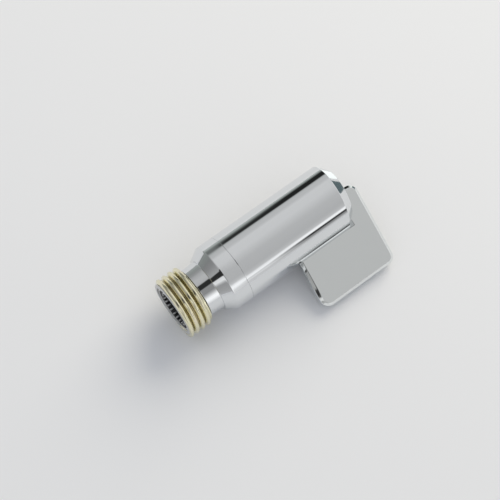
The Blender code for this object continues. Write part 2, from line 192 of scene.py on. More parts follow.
@dataclass(frozen=True)
class Finish:
    """One procedural finish.

    Attributes:
        name: Name of the material.
        colour: Linear base colour.
        tint: Second colour that the pattern mixes in.
        metallic: Metallic value.
        roughness: Middle roughness.
        spread: How far the roughness swings round the middle.
        grain: Cells per metre of the colour and roughness pattern.
        bump: Depth of the surface pattern in metres.
        bump_scale: Cells per metre of the surface pattern.
    """

    name: str
    colour: Colour
    tint: Colour
    metallic: float
    roughness: float
    spread: float
    grain: float
    bump: float
    bump_scale: float

    def material(self) -> bpy.types.Material:
        """Builds the material.

        Returns:
            A Principled material with the shared surface group.
        """
        made = bpy.data.materials.new(self.name)
        made.use_nodes = True
        tree = made.node_tree
        group = add_node(tree, "ShaderNodeGroup", node_tree=surface_group())
        given = {
            "Colour": (*self.colour, 1.0),
            "Tint": (*self.tint, 1.0),
            "Roughness": self.roughness,
            "Spread": self.spread,
            "Grain": self.grain,
            "Fine": self.bump_scale,
        }
        for label, value in given.items():
            group.inputs[label].default_value = value
        height = {"Height": group.outputs["Height"]}
        bump = add_node(tree, "ShaderNodeBump", height, distance=self.bump, strength=1.0)
        shader = tree.nodes["Principled BSDF"]
        shader.inputs["Metallic"].default_value = self.metallic
        tree.links.new(group.outputs["Colour"], shader.inputs["Base Color"])
        tree.links.new(group.outputs["Roughness"], shader.inputs["Roughness"])
        tree.links.new(bump.outputs["Normal"], shader.inputs["Normal"])
        return made


def surface_group() -> bpy.types.NodeTree:
    """Gives the shared group that varies colour, roughness and height over a surface.

    Returns:
        The shader node group, made on first use.
    """
    name = "surface_variation"
    if name in bpy.data.node_groups:
        return bpy.data.node_groups[name]
    tree = bpy.data.node_groups.new(name, "ShaderNodeTree")
    face = tree.interface
    for label in ("Colour", "Tint"):
        face.new_socket(name=label, in_out="INPUT", socket_type="NodeSocketColor")
    for label in ("Roughness", "Spread", "Grain", "Fine"):
        face.new_socket(name=label, in_out="INPUT", socket_type="NodeSocketFloat")
    face.new_socket(name="Colour", in_out="OUTPUT", socket_type="NodeSocketColor")
    for label in ("Roughness", "Height"):
        face.new_socket(name=label, in_out="OUTPUT", socket_type="NodeSocketFloat")
    given = tree.nodes.new("NodeGroupInput").outputs
    place = tree.nodes.new("ShaderNodeTexCoord").outputs["Object"]
    noise = "ShaderNodeTexNoise"
    broad = add_node(tree, noise, {"Vector": place, "Scale": given["Grain"]}, detail=4.0).outputs["Fac"]
    fine = add_node(tree, noise, {"Vector": place, "Scale": given["Fine"]}, detail=3.0).outputs["Fac"]
    mix = add_node(tree, "ShaderNodeMix", {
        "Factor": broad,
        "A": given["Colour"],
        "B": given["Tint"],
    }, data_type="RGBA")
    centred = add_node(tree, "ShaderNodeMath", {0: broad}, operation="SUBTRACT")
    centred.inputs[1].default_value = 0.5
    swing = add_node(tree, "ShaderNodeMath", {
        0: centred.outputs[0],
        1: given["Spread"],
        2: given["Roughness"],
    }, operation="MULTIPLY_ADD")
    add_node(tree, "NodeGroupOutput", {
        "Colour": mix.outputs["Result"],
        "Roughness": swing.outputs[0],
        "Height": fine,
    })
    return tree


# Painted light: the flag's chrome is a lighter copy of the sleeve's chrome, to paint in a brighter
# reflection on the flag
LIGHTER_FLAG_CHROME = Finish(
    "flag_chrome_painted_light", colour=(0.825, 0.85, 0.845), tint=(0.805, 0.83, 0.83), metallic=1.0, roughness=0.08,
    spread=0.05, grain=160.0, bump=0.0000012, bump_scale=900.0)
CHROME = Finish(
    "polished_chrome", colour=(0.77, 0.785, 0.80), tint=(0.755, 0.775, 0.79), metallic=1.0, roughness=0.055,
    spread=0.05, grain=240.0, bump=0.0000012, bump_scale=900.0)
BRASS = Finish(
    "bare_brass", colour=(0.80, 0.81, 0.52), tint=(0.90, 0.80, 0.66), metallic=1.0, roughness=0.20,
    spread=0.10, grain=420.0, bump=0.000002, bump_scale=2600.0)
# Painted shade: a darker copy of the brass, used on the nipple's blank so that the thread's valleys look
# shaded
VALLEY_SHADE_BRASS = Finish(
    "brass_painted_shade", colour=(0.38, 0.35, 0.19), tint=(0.44, 0.36, 0.24), metallic=1.0, roughness=0.34,
    spread=0.10, grain=420.0, bump=0.000002, bump_scale=2600.0)
STEEL = Finish(
    "grey_steel", colour=(0.58, 0.585, 0.585), tint=(0.68, 0.68, 0.67), metallic=0.55, roughness=0.40,
    spread=0.16, grain=700.0, bump=0.000008, bump_scale=4200.0)
LIGHT_STEEL = Finish(
    "cut_steel", colour=(0.80, 0.805, 0.80), tint=(0.72, 0.72, 0.71), metallic=0.35, roughness=0.36,
    spread=0.12, grain=700.0, bump=0.000006, bump_scale=4200.0)
# Painted shade: near-black steel for the sheet between the socket's teeth and for the teeth's roots and
# inner ends
SHADE_STEEL_FINISH = Finish(
    "painted_shade_steel", colour=(0.035, 0.034, 0.036), tint=(0.055, 0.054, 0.055), metallic=0.2, roughness=0.50,
    spread=0.12, grain=700.0, bump=0.000006, bump_scale=4200.0)
RUBBER = Finish(
    "black_rubber", colour=(0.025, 0.025, 0.026), tint=(0.045, 0.045, 0.046), metallic=0.0, roughness=0.62,
    spread=0.14, grain=900.0, bump=0.000008, bump_scale=5200.0)
BEARING = Finish(
    "pale_bearing_plastic", colour=(0.80, 0.79, 0.76), tint=(0.74, 0.73, 0.70), metallic=0.0, roughness=0.46,
    spread=0.10, grain=700.0, bump=0.000006, bump_scale=4000.0)
MOULDING = Finish(
    "grey_moulding", colour=(0.20, 0.21, 0.22), tint=(0.26, 0.27, 0.28), metallic=0.0, roughness=0.48,
    spread=0.12, grain=800.0, bump=0.000008, bump_scale=4600.0)
TABLE = Finish(
    "pale_table", colour=(0.83, 0.83, 0.84), tint=(0.81, 0.81, 0.82), metallic=0.0, roughness=0.6,
    spread=0.05, grain=6.0, bump=0.000001, bump_scale=300.0)
NODE_FINISHES = {
    Slot.BRASS: BRASS,
    Slot.CHROME: CHROME,
    Slot.STEEL: STEEL,
    Slot.RUBBER: RUBBER,
    Slot.BEARING: BEARING,
    Slot.MOULDING: MOULDING,
}


def rounded(corners: list[Corner], steps: int = 5, hold: float = 0.12, share: float = 0.3) -> Profile:
    """Rounds the corners of a turned profile.

    Args:
        corners: Radius, place along the axis and rounding of each corner.
        steps: Points on each rounding.
        hold: Distance of the extra points that keep the flats flat.
        share: The most that this distance takes of a flat.

    Returns:
        The profile's points.
    """
    points: Profile = []
    last = len(corners) - 1
    for i, (radius, along, fillet) in enumerate(corners):
        here = Vector((radius, along))
        if fillet <= 0.0 or i in (0, last):
            points.append((radius, along))
            continue
        before = Vector(corners[i - 1][:2]) - here
        after = Vector(corners[i + 1][:2]) - here
        back = before.normalized()
        ahead = after.normalized()
        turn = before.angle(after)
        reach = fillet / math.tan(turn / 2)
        start = here + back * reach
        end = here + ahead * reach
        middle = here + (back + ahead).normalized() * (fillet / math.sin(turn / 2))
        points.append(tuple(start + back * min(hold, share * (before.length - reach))))
        for k in range(steps + 1):
            arm = (start - middle).lerp(end - middle, k / steps).normalized()
            points.append(tuple(middle + arm * fillet))
        points.append(tuple(end + ahead * min(hold, share * (after.length - reach))))
    return points


def add_piece(
    name: str,
    mesh: bpy.types.Mesh,
    finish: bpy.types.Material,
    body: Body,
    slot: Slot,
    *nodes: str,
) -> None:
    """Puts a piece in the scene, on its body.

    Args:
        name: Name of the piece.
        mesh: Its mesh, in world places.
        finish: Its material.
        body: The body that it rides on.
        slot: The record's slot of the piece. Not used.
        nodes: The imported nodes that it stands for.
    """
    mesh.name = name
    mesh.materials.clear()
    mesh.materials.append(finish)
    piece = add_object(name, mesh)
    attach(piece, body.value)
    if nodes:
        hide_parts(*nodes)
    LOG.info("piece %s rides on %s with %d faces", name, body.value, len(mesh.polygons))


@dataclass
class Turning:
    """Makes turned meshes about the valve axis.

    Attributes:
        axis: The valve axis.
        rolled: Whether the meshes belong to the lever.
        segments: Steps round the axis.
        pole_r: The radius under which a ring is one point on the axis.
    """

    axis: ValveAxis
    rolled: bool
    segments: int = 192
    pole_r: float = 1e-6

    def mesh(self, profile: Profile, closed: bool, shift: Shift | None = None) -> bpy.types.Mesh:
        """Turns a profile about the axis.

        Args:
            profile: Radius and place along the axis of each point.
            closed: Whether the last point joins the first.
            shift: Moves a point along the axis, from its place along, across and up.

        Returns:
            A closed mesh with smooth faces that point outwards.
        """
        shape = bmesh.new()
        rings: list[Ring] = []
        for radius, along in profile:
            count = 1 if radius < self.pole_r else self.segments
            ring: Ring = []
            for k in range(count):
                angle = 2 * math.pi * k / self.segments
                across = radius * math.cos(angle)
                up = radius * math.sin(angle)
                moved = along + (shift(along, across, up) if shift else 0.0)
                ring.append(shape.verts.new(self.axis.point(moved, across, up, self.rolled)))
            rings.append(ring)
        pairs = list(zip(rings, rings[1:]))
        if closed:
            pairs.append((rings[-1], rings[0]))
        for one, two in pairs:
            self._bridge(shape, one, two)
        bmesh.ops.recalc_face_normals(shape, faces=shape.faces)
        return finished(shape)

    def _bridge(self, shape: bmesh.types.BMesh, one: Ring, two: Ring) -> None:
        """Joins two rings with faces.

        Args:
            shape: The working mesh.
            one: A ring, or a point on the axis.
            two: The next ring, or a point on the axis.
        """
        for k in range(self.segments):
            n = (k + 1) % self.segments
            corners = [one[k % len(one)], one[n % len(one)], two[n % len(two)], two[k % len(two)]]
            unique = list(dict.fromkeys(corners))
            if len(unique) > 2:
                shape.faces.new(unique)


def finished(shape: bmesh.types.BMesh) -> bpy.types.Mesh:
    """Turns a working mesh into a smooth one.

    Args:
        shape: The working mesh, which is freed.

    Returns:
        The finished mesh.
    """
    mesh = bpy.data.meshes.new("shape")
    shape.to_mesh(mesh)
    shape.free()
    mesh.shade_smooth()
    return mesh


def plain_mesh(carrier: bpy.types.Object, placing: Matrix) -> bpy.types.Mesh:
    """Takes the result of a node tree as a plain mesh in its place.

    Args:
        carrier: The object that carries the tree, which is removed.
        placing: The matrix that puts the result in its place.

    Returns:
        The plain mesh.
    """
    graph = bpy.context.evaluated_depsgraph_get()
    mesh = bpy.data.meshes.new_from_object(carrier.evaluated_get(graph))
    bpy.data.objects.remove(carrier)
    mesh.transform(placing)
    return mesh


@dataclass
class NodeTree:
    """A geometry node tree with named inputs.

    Attributes:
        name: Name of the tree.
        tree: The tree.
        given: Its input node.
        result: Its output node.
        identifiers: The identifier of each named input.
    """

    name: str
    tree: bpy.types.NodeTree = field(init=False)
    given: bpy.types.Node = field(init=False)
    result: bpy.types.Node = field(init=False)
    identifiers: dict[str, str] = field(init=False, default_factory=dict)

    def __post_init__(self) -> None:
        """Makes the empty tree with its geometry sockets."""
        self.tree = bpy.data.node_groups.new(self.name, "GeometryNodeTree")
        for way in ("INPUT", "OUTPUT"):
            self.tree.interface.new_socket(name="Geometry", in_out=way, socket_type="NodeSocketGeometry")
        self.given = self.tree.nodes.new("NodeGroupInput")
        self.result = self.tree.nodes.new("NodeGroupOutput")

    def sockets(self, kind: str, *labels: str) -> None:
        """Adds named inputs of one kind.

        Args:
            kind: The sockets' type.
            labels: Their names.
        """
        for label in labels:
            made = self.tree.interface.new_socket(name=label, in_out="INPUT", socket_type=kind)
            self.identifiers[label] = made.identifier

    def node(self, kind: str, links: Links | None = None, **values: object) -> bpy.types.Node:
        """Adds a node.

        Args:
            kind: The node's type.
            links: Sockets to link to its inputs.
            values: Properties of the node, or values of its inputs.

        Returns:
            The new node.
        """
        return add_node(self.tree, kind, links, **values)

    def close(self, geometry: bpy.types.NodeSocket, material: bpy.types.Material) -> None:
        """Ends the tree in realized instances and a material.

        Args:
            geometry: The tree's geometry.
            material: The material of the result.
        """
        real = self.node("GeometryNodeRealizeInstances", {"Geometry": geometry})
        dressed = self.node("GeometryNodeSetMaterial", {"Geometry": real.outputs[0]})
        dressed.inputs["Material"].default_value = material
        self.tree.links.new(dressed.outputs[0], self.result.inputs[0])

    def carrier(self, **values: object) -> bpy.types.Object:
        """Makes an object that carries the tree.

        Args:
            values: The value of each named input.

        Returns:
            The object, linked to the scene.
        """
        thing = add_object(self.name, bpy.data.meshes.new(self.name))
        modifier = thing.modifiers.new(self.name, "NODES")
        modifier.node_group = self.tree
        for label, value in values.items():
            modifier[self.identifiers[label]] = value
        return thing


@dataclass
class CollarBody:
    """The chromed neck, shoulder and collar, with the barrel inside the sleeve."""

    axis: ValveAxis
    collar_r: float = 11.6
    collar_start: float = -5.7
    collar_edge: float = 0.7
    foot_r: float = 9.35
    foot_edge: float = 0.08
    neck_r: float = 8.45
    flare_r: float = 8.75
    flare_steps: int = 16
    neck_start: float = -14.0
    neck_end: float = -9.2
    nose_edge: float = 0.25
    joint_gap: float = 0.03
    joint_edge: float = 0.04
    barrel_r: float = 9.0
    barrel_tip_r: float = 7.9
    barrel_step: float = 10.0
    barrel_edge: float = 0.2
    barrel_end: float = 17.0
    bore_front_r: float = 7.3
    bore_seal_r: float = 5.2
    bore_seal_start: float = -1.5
    bore_gland_r: float = 6.8

    def flare(self) -> list[Corner]:
        """Gives the points of the neck, which flares towards the shoulder.

        Returns:
            The points between the neck's ends, from the shoulder's side.
        """
        points: list[Corner] = []
        for k in range(1, self.flare_steps):
            part = 1 - k / self.flare_steps
            along = self.neck_start + (self.neck_end - self.neck_start) * part
            points.append((self.neck_r + (self.flare_r - self.neck_r) * part * part, along, 0.0))
        return points

    def profile(self) -> Profile:
        """Gives the body's profile, with its edges rounded."""
        return rounded([
            (self.barrel_tip_r, self.barrel_end, 0.0),
            (self.barrel_tip_r, self.barrel_step, 0.0),
            (self.barrel_r, self.barrel_step, self.barrel_edge),
            (self.barrel_r, -self.joint_gap, 0.0),
            (self.collar_r, -self.joint_gap, self.joint_edge),
            (self.collar_r, self.collar_start, self.collar_edge),
            (self.foot_r, self.neck_end, self.foot_edge),
            (self.flare_r, self.neck_end, self.foot_edge),
            *self.flare(),
            (self.neck_r, self.neck_start, self.nose_edge),
            (self.bore_front_r, self.neck_start, 0.0),
            (self.bore_front_r, self.bore_seal_start, 0.0),
            (self.bore_seal_r, self.bore_seal_start, 0.0),
            (self.bore_seal_r, self.barrel_step, 0.0),
            (self.bore_gland_r, self.barrel_step, 0.0),
            (self.bore_gland_r, self.barrel_end, 0.0),
        ])

    def build(self, chrome: bpy.types.Material) -> None:
        """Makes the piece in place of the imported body."""
        mesh = Turning(self.axis, rolled=False).mesh(self.profile(), closed=True)
        add_piece("collar_shell", mesh, chrome, Body.HEAD, Slot.CHROME, "collar_body")


@dataclass
class Nipple:
    """The bare brass nipple: a blank with a helical thread and a cut, grey end.

    Attributes:
        first: Where the middle of the ridge starts along the axis.
        front_gap: How far the ridge stays behind the cut end.
        back_gap: How far it stays before the nipple's back.
        rise_end: Share of the ridge's length over which it grows to its full size.
        rise_size: Its size at the start, as a share of the full one.
        fall_start: Share of its length after which it shrinks again.
        fall_size: Its size at the end, as a share of the full one.
    """

    axis: ValveAxis
    node: str = "threaded_nipple"
    start: float = -23.0
    end: float = -14.3
    crest_r: float = 10.45
    root_r: float = 9.05
    bore_r: float = 8.1
    floor: float = -15.2
    rim_r: float = 9.3
    rim_end: float = -22.5
    rim_chamfer: float = 0.2
    rim_edge: float = 0.1
    runout_r: float = 9.4
    runout_bore_r: float = 8.0
    runout_start: float = -15.0
    runout_edge: float = 0.2
    spigot_r: float = 7.0
    spigot_bore_r: float = 5.0
    spigot_end: float = -7.6
    pitch: float = 2.13
    first: float = -22.93
    turns: float = 3.97
    half_width: float = 0.90
    front_gap: float = 0.03
    back_gap: float = 0.02
    steps_per_turn: int = 96
    section_steps: int = 24
    rise_end: float = 0.03
    rise_size: float = 0.3
    fall_start: float = 0.96
    fall_size: float = 0.2

    def blank(self) -> Profile:
        """Gives the profile of the nipple without its thread and its end."""
        return [
            (self.spigot_r, self.spigot_end),
            (self.spigot_r, self.runout_start),
            (self.root_r, self.runout_start),
            (self.root_r, self.rim_end),
            (self.bore_r, self.rim_end),
            (self.bore_r, self.floor),
            (self.spigot_bore_r, self.floor),
            (self.spigot_bore_r, self.spigot_end),
        ]

    def runout(self) -> Profile:
        """Gives the profile of the bright ring behind the thread."""
        return rounded([
            (self.runout_bore_r, self.runout_start, 0.0),
            (self.runout_r, self.runout_start, self.runout_edge),
            (self.runout_r, self.end, self.runout_edge),
            (self.runout_bore_r, self.end, 0.0),
        ])

    def rim(self) -> Profile:
        """Gives the profile of the cut end."""
        return rounded([
            (self.bore_r, self.rim_end, 0.0),
            (self.rim_r, self.rim_end, 0.0),
            (self.rim_r, self.start + self.rim_chamfer, self.rim_edge),
            (self.rim_r - self.rim_chamfer, self.start, self.rim_edge),
            (self.bore_r, self.start, 0.0),
        ])

    def thread_tree(self, brass: bpy.types.Material) -> NodeTree:
        """Builds the tree that sweeps a rounded ridge along a helix, cut off square at both ends.

        Args:
            brass: The ridge's material.

        Returns:
            The tree.
        """
        tree = NodeTree("thread_ridge")
        tree.sockets("NodeSocketInt", "Steps")
        tree.sockets("NodeSocketFloat", "Radius", "Turns", "Rise", "Half Width", "Height", "Low", "High")
        given = tree.given.outputs
        helix = tree.node("GeometryNodeCurveSpiral", {
            "Resolution": given["Steps"],
            "Rotations": given["Turns"],
            "Start Radius": given["Radius"],
            "End Radius": given["Radius"],
            "Height": given["Rise"],
        })
        level = tree.node("GeometryNodeSetCurveNormal", {"Curve": helix.outputs[0]}, mode="Z_UP")
        circle = tree.node("GeometryNodeCurvePrimitiveCircle", resolution=self.section_steps, radius=1.0)
        size = tree.node("ShaderNodeCombineXYZ", {"X": given["Height"], "Y": given["Half Width"]}, z=1.0)
        section = tree.node("GeometryNodeTransform", {
            "Geometry": circle.outputs[0],
            "Scale": size.outputs[0],
        })
        ramp = "ShaderNodeMapRange"
        place = {"Value": tree.node("GeometryNodeSplineParameter").outputs["Factor"]}
        rise = tree.node(ramp, place, from_max=self.rise_end, to_min=self.rise_size)
        fall = tree.node(ramp, place, from_min=1.0, from_max=self.fall_start, to_min=self.fall_size)
        fade = tree.node("ShaderNodeMath", {0: rise.outputs[0], 1: fall.outputs[0]}, operation="MINIMUM")
        ridge = tree.node("GeometryNodeCurveToMesh", {
            "Curve": level.outputs[0],
            "Profile Curve": section.outputs[0],
            "Scale": fade.outputs[0],
        }, fill_caps=True)
        spot = tree.node("GeometryNodeInputPosition")
        parts = tree.node("ShaderNodeSeparateXYZ", {"Vector": spot.outputs[0]}).outputs
        cut = tree.node("ShaderNodeClamp", {"Value": parts["Z"], "Min": given["Low"], "Max": given["High"]})
        kept = tree.node("ShaderNodeCombineXYZ", {"X": parts["X"], "Y": parts["Y"], "Z": cut.outputs[0]})
        trimmed = tree.node("GeometryNodeSetPosition", {
            "Geometry": ridge.outputs[0],
            "Position": kept.outputs[0],
        })
        smooth = tree.node("GeometryNodeSetShadeSmooth", {"Geometry": trimmed.outputs[0]})
        tree.close(smooth.outputs[0], brass)
        return tree

    def build(
        self,
        brass: bpy.types.Material,
        shaded_blank_brass: bpy.types.Material,
        steel: bpy.types.Material,
    ) -> None:
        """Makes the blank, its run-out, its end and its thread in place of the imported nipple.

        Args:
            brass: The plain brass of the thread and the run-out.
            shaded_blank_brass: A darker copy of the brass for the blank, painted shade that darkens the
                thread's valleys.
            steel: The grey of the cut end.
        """
        turning = Turning(self.axis, rolled=False)
        mesh = turning.mesh(self.blank(), closed=True)
        # The blank takes the darker brass, painted shade for the thread's valleys
        add_piece("nipple_blank", mesh, shaded_blank_brass, Body.HEAD, Slot.BRASS, self.node)
        mesh = turning.mesh(self.runout(), closed=True)
        add_piece("nipple_runout", mesh, brass, Body.HEAD, Slot.BRASS, self.node)
        mesh = turning.mesh(self.rim(), closed=True)
        add_piece("nipple_rim", mesh, steel, Body.HEAD, Slot.STEEL, self.node)
        carrier = self.thread_tree(brass).carrier(**{
            "Radius": self.root_r * MM,
            "Turns": self.turns,
            "Rise": self.pitch * self.turns * MM,
            "Steps": self.steps_per_turn,
            "Half Width": self.half_width * MM,
            "Height": (self.crest_r - self.root_r) * MM,
            "Low": (self.start + self.front_gap - self.first) * MM,
            "High": (self.end - self.back_gap - self.first) * MM,
        })
        placing = self.axis.matrix(rolled=False) @ Matrix.Translation((0.0, 0.0, self.first * MM))
        mesh = plain_mesh(carrier, placing)
        add_piece("thread_ridge", mesh, brass, Body.HEAD, Slot.BRASS, self.node)


@dataclass
class ToothedSocket:
    """The grey socket with teeth that point inwards.

    Attributes:
        tooth_root: Half of a tooth's width at its root, as a share of the pitch.
        tooth_tip: Half of its width at its tip, as a share of the pitch.
        tip_flat: The flat of the tip, as a share of the tip's width.
        shade_layer: Half of the thickness of the dark sheet of painted shade between the teeth.
        shade_start_depth: Depth below the tips at which painted shade starts to darken the teeth.
        shade_full_depth: Depth below the tips at which they are dark.
        shade_start_length: Distance behind the mouth at which painted shade starts to darken the teeth.
        shade_full_length: Distance behind the mouth at which they are dark.
    """

    axis: ValveAxis
    node: str = "toothed_socket"
    outer_r: float = 7.8
    root_r: float = 7.2
    tip_r: float = 5.75
    start: float = -22.7
    floor: float = -17.1
    back: float = -15.5
    boss_r: float = 4.7
    boss_end: float = -10.4
    hole_r: float = 3.2
    back_edge: float = 0.2
    mouth_edge: float = 0.15
    segments: int = 120
    teeth: int = 24
    tooth_root: float = 0.26
    tooth_tip: float = 0.12
    tip_flat: float = 0.6
    tip_corner: float = 0.15
    tooth_overlap: float = 0.15
    tooth_setback: float = 0.2
    shade_layer: float = 0.03
    shade_layer_setback: float = 0.16
    shade_layer_margin: float = 0.3
    shade_start_depth: float = 0.15
    shade_full_depth: float = 0.55
    shade_start_length: float = 0.5
    shade_full_length: float = 1.6

    def shell(self) -> Profile:
        """Gives the profile of the socket without its teeth."""
        return rounded([
            (self.hole_r, self.boss_end, 0.0),
            (self.boss_r, self.boss_end, self.back_edge),
            (self.boss_r, self.back, 0.0),
            (self.outer_r, self.back, self.back_edge),
            (self.outer_r, self.start, self.mouth_edge),
            (self.root_r, self.start, self.mouth_edge),
            (self.root_r, self.floor, 0.0),
            (self.hole_r, self.floor, 0.0),
        ])

    def bore(self) -> Profile:
        """Gives the profile of a dark sheet of painted shade between the teeth.

        Returns:
            The profile's points, along the bore's wall and its floor.
        """
        mouth = self.start + self.shade_layer_setback
        hole = self.hole_r + self.shade_layer_margin
        return [
            (self.root_r + self.shade_layer, mouth),
            (self.root_r - self.shade_layer, mouth),
            (self.root_r - self.shade_layer, self.floor - self.shade_layer),
            (hole, self.floor - self.shade_layer),
            (hole, self.floor + self.shade_layer),
            (self.root_r + self.shade_layer, self.floor + self.shade_layer),
        ]

    def tooth(self) -> bpy.types.Object:
        """Makes one tooth, pointing along its own minus X, with its length along Z.

        Returns:
            The tooth's object, used only by the tree that repeats it.
        """
        pitch = 2 * math.pi * self.root_r / self.teeth
        root = self.tooth_root * pitch
        tip = self.tooth_tip * pitch
        flat = tip * self.tip_flat
        depth = self.root_r - self.tip_r
        length = self.floor - self.start - self.tooth_setback
        outline = [
            (self.tooth_overlap, root),
            (self.tooth_overlap, -root),
            (-depth + self.tip_corner, -tip),
            (-depth, -flat),
            (-depth, flat),
            (-depth + self.tip_corner, tip),
        ]
        shape = bmesh.new()
        lower = [shape.verts.new((x * MM, y * MM, 0.0)) for x, y in outline]
        face = shape.faces.new(lower)
        grown = bmesh.ops.extrude_face_region(shape, geom=[face])
        moved = [v for v in grown["geom"] if isinstance(v, bmesh.types.BMVert)]
        bmesh.ops.translate(shape, verts=moved, vec=(0.0, 0.0, length * MM))
        bmesh.ops.recalc_face_normals(shape, faces=shape.faces)
        mesh = bpy.data.meshes.new("tooth")
        shape.to_mesh(mesh)
        shape.free()
        return add_object("tooth", mesh)

    def shaded_towards_roots(self, finish: Finish) -> bpy.types.Material:
        """Makes the finish of the teeth, with painted shade that darkens them towards their roots and inner
        ends.

        Args:
            finish: The finish of the unshaded tips.

        Returns:
            The material.
        """
        made = finish.material()
        tree = made.node_tree
        shader = tree.nodes["Principled BSDF"]
        tip_colour = shader.inputs["Base Color"].links[0].from_socket
        middle = self.axis.origin
        mouth = middle.x + self.start * MM
        spot = {"Vector": tree.nodes.new("ShaderNodeTexCoord").outputs["Object"]}
        centred = add_node(tree, "ShaderNodeMapping", spot)
        centred.inputs["Location"].default_value = (0.0, -middle.y, -middle.z)
        centred.inputs["Scale"].default_value = (0.0, 1.0, 1.0)
        radius = add_node(tree, "ShaderNodeVectorMath", {0: centred.outputs["Vector"]}, operation="LENGTH")
        depth = add_node(
            tree, "ShaderNodeMapRange", {"Value": radius.outputs["Value"]},
            from_min=(self.tip_r + self.shade_start_depth) * MM, from_max=(self.tip_r + self.shade_full_depth) * MM)
        place = add_node(tree, "ShaderNodeSeparateXYZ", spot)
        inside = add_node(
            tree, "ShaderNodeMapRange", {"Value": place.outputs["X"]},
            from_min=mouth + self.shade_start_length * MM, from_max=mouth + self.shade_full_length * MM)
        # Painted shade: the teeth go dark deep between them and further into the bore
        shade_amount = add_node(tree, "ShaderNodeMath", {
            0: depth.outputs["Result"],
            1: inside.outputs["Result"],
        }, operation="MAXIMUM")
        shade_layer = add_node(tree, "ShaderNodeMix", {"Factor": shade_amount.outputs[0], "A": tip_colour}, data_type="RGBA")
        shade_layer.inputs["B"].default_value = (*SHADE_STEEL_FINISH.colour, 1.0)
        tree.links.new(shade_layer.outputs["Result"], shader.inputs["Base Color"])
        return made

    def teeth_tree(self, steel: bpy.types.Material) -> NodeTree:
        """Builds the tree that repeats a tooth round the bore.

        Args:
            steel: The teeth's material.

        Returns:
            The tree.
        """
        tree = NodeTree("socket_teeth")
        tree.sockets("NodeSocketInt", "Count")
        tree.sockets("NodeSocketFloat", "Radius")
        tree.sockets("NodeSocketObject", "Tooth")
        given = tree.given.outputs
        circle = tree.node("GeometryNodeMeshCircle", {"Vertices": given["Count"], "Radius": given["Radius"]})
        source = tree.node("GeometryNodeObjectInfo", {"Object": given["Tooth"]})
        index = tree.node("GeometryNodeInputIndex")
        step = tree.node("ShaderNodeMath", {1: given["Count"]}, operation="DIVIDE")
        step.inputs[0].default_value = 2 * math.pi
        angle = tree.node("ShaderNodeMath", {0: index.outputs[0], 1: step.outputs[0]}, operation="MULTIPLY")
        turn = tree.node("ShaderNodeCombineXYZ", {"Z": angle.outputs[0]})
        copies = tree.node("GeometryNodeInstanceOnPoints", {
            "Points": circle.outputs[0],
            "Instance": source.outputs["Geometry"],
            "Rotation": turn.outputs[0],
        })
        tree.close(copies.outputs[0], steel)
        return tree

    def build(self, steel: bpy.types.Material, painted_shade_finish: bpy.types.Material) -> None:
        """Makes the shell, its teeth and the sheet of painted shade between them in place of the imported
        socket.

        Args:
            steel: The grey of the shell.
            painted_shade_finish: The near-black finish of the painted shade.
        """
        turning = Turning(self.axis, rolled=True, segments=self.segments)
        mesh = turning.mesh(self.shell(), closed=True)
        add_piece("socket_shell", mesh, steel, Body.LEVER, Slot.STEEL, self.node)
        # A dark sheet along the bore's wall and floor: painted shade between the teeth
        mesh = turning.mesh(self.bore(), closed=True)
        add_piece("socket_bore", mesh, painted_shade_finish, Body.LEVER, Slot.STEEL, self.node)
        tooth = self.tooth()
        light = self.shaded_towards_roots(LIGHT_STEEL)
        carrier = self.teeth_tree(light).carrier(Count=self.teeth, Radius=self.root_r * MM, Tooth=tooth)
        setback = Matrix.Translation((0.0, 0.0, (self.start + self.tooth_setback) * MM))
        mesh = plain_mesh(carrier, self.axis.matrix(rolled=True) @ setback)
        bpy.data.objects.remove(tooth)
        add_piece("socket_teeth", mesh, light, Body.LEVER, Slot.STEEL, self.node)


